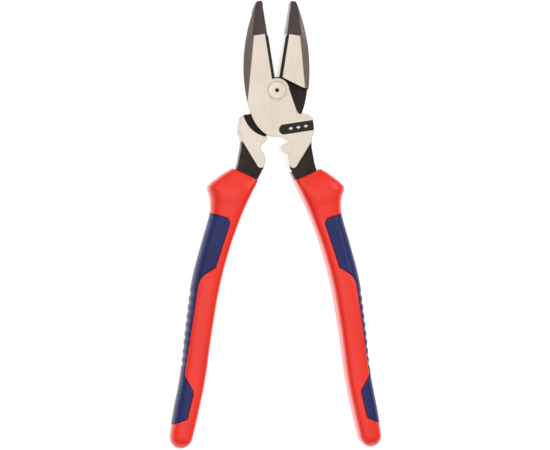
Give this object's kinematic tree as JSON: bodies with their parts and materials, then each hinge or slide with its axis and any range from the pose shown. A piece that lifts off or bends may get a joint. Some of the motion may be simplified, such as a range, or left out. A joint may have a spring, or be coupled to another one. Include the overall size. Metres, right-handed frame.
{
  "type": "lineman pliers",
  "caption": "Lineman pliers: two crossed levers in a riveted lap joint, with gripping jaws, side cutters, tape puller, crimper and two-part grips.",
  "frame": {"origin": "on the pivot's axis, on the back ground face of the head", "axes": "+Y towards the jaw tips, +Z along the pivot, out of the front ground face, +X to the right seen from the front"},
  "size_m": [0.1114, 0.2339, 0.0218],
  "materials": {
    "lever_steel": "ground and polished faces, black forged flanks and necks",
    "rivet_steel": "ground flush with the head",
    "grip_shell": "satin red moulding",
    "grip_pad": "matt dark blue soft moulding"
  },
  "bodies": {
    "front_half": {"front_lever": "lever_steel", "pivot_rivet": "rivet_steel", "right_grip_shell": "grip_shell", "right_grip_pad": "grip_pad"},
    "rear_half": {"rear_lever": "lever_steel", "left_grip_shell": "grip_shell", "left_grip_pad": "grip_pad"}
  },
  "joints": [
    {"name": "pivot", "type": "hinge", "parent": "front_half", "child": "rear_half", "pos_m": [0, 0, 0.007], "axis": [0, 0, -1], "range_deg": [-18, 42]}
  ]
}
